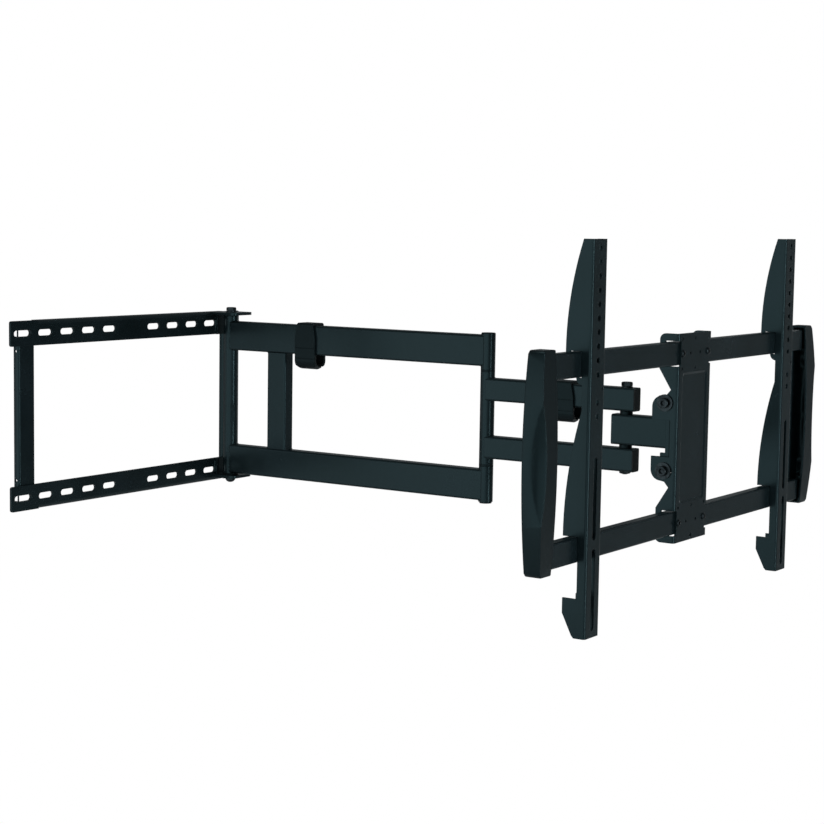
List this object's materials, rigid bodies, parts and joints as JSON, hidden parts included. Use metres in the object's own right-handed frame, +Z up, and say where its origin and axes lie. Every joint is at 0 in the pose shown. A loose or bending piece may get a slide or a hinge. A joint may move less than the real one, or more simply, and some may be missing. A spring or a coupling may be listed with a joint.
{
  "type": "full motion tv wall mount",
  "caption": "Articulated wall mount for a flat screen: a slotted wall frame, folding tube arms, a swivel and tilt head, and a railed plate with sliding hook brackets.",
  "frame": {"origin": "on the wall plane, at the middle of the wall frame's width and height", "axes": "+Y into the wall, so the screen side faces -Y; +Z up; +X along the wall, towards the wall frame's hinged end"},
  "size_m": [0.828, 0.8108, 0.467],
  "materials": {
    "powder_coated_steel": "black powder coat, satin gloss",
    "black_zinc_steel": "black plated, semi gloss",
    "black_plastic": "moulded black plastic, fine grain"
  },
  "bodies": {
    "wall_frame": {"wall_rail_top": "powder_coated_steel", "wall_rail_bottom": "powder_coated_steel", "wall_upright_left": "powder_coated_steel", "wall_upright_right": "powder_coated_steel", "hinge_bracket_top": "powder_coated_steel", "hinge_bracket_bottom": "powder_coated_steel", "wall_pivot_bolt": "black_zinc_steel", "wall_pivot_nut": "black_zinc_steel", "wall_pivot_washers": "black_zinc_steel"},
    "long_arm": {"arm1_hinge_tube": "powder_coated_steel", "arm1_top_bar": "powder_coated_steel", "arm1_bottom_bar": "powder_coated_steel", "arm1_strut": "powder_coated_steel", "arm1_knuckle_top": "powder_coated_steel", "arm1_knuckle_bottom": "powder_coated_steel", "wall_pivot_bushes": "black_plastic", "elbow_pin": "black_zinc_steel", "elbow_caps": "black_plastic", "cable_clip_arm1": "black_plastic"},
    "short_arm": {"elbow_tube": "powder_coated_steel", "elbow_bushes": "black_plastic", "arm2_top_bar": "powder_coated_steel", "arm2_bottom_bar": "powder_coated_steel", "arm2_end_plugs": "black_plastic", "cable_clip_arm2": "black_plastic", "head_pivot_bolt": "black_zinc_steel", "head_pivot_nut": "black_zinc_steel"},
    "swivel_head": {"swivel_tube": "powder_coated_steel", "head_bushes": "black_plastic", "tilt_yoke": "powder_coated_steel", "tilt_bolts": "black_zinc_steel", "tilt_washers": "black_zinc_steel", "tilt_weld_nuts": "black_zinc_steel"},
    "tv_plate": {"centre_channel": "powder_coated_steel", "tv_rail_upper": "powder_coated_steel", "tv_rail_lower": "powder_coated_steel", "rail_screws": "black_zinc_steel", "end_cap_left": "black_plastic", "end_cap_right": "black_plastic"},
    "bracket_left": {"vesa_bracket_left": "powder_coated_steel"},
    "bracket_right": {"vesa_bracket_right": "powder_coated_steel"}
  },
  "joints": [
    {"name": "wall_hinge", "type": "hinge", "parent": "wall_frame", "child": "long_arm", "pos_m": [0.193, -0.0345, 0], "axis": [0, 0, 1], "range_deg": [-90, 90]},
    {"name": "elbow", "type": "hinge", "parent": "long_arm", "child": "short_arm", "pos_m": [0.193, -0.4895, 0], "axis": [0, 0, -1], "range_deg": [-105, 105]},
    {"name": "head_swivel", "type": "hinge", "parent": "short_arm", "child": "swivel_head", "pos_m": [0.193, -0.7045, 0], "axis": [0, 0, 1], "range_deg": [-90, 90]},
    {"name": "tilt", "type": "hinge", "parent": "swivel_head", "child": "tv_plate", "pos_m": [0.193, -0.784, 0], "axis": [1, 0, 0], "range_deg": [-5, 10]},
    {"name": "bracket_left_slide", "type": "slide", "parent": "tv_plate", "child": "bracket_left", "axis": [1, 0, 0], "range_m": [-0.057, 0.19]},
    {"name": "bracket_right_slide", "type": "slide", "parent": "tv_plate", "child": "bracket_right", "axis": [1, 0, 0], "range_m": [-0.19, 0.057]}
  ]
}
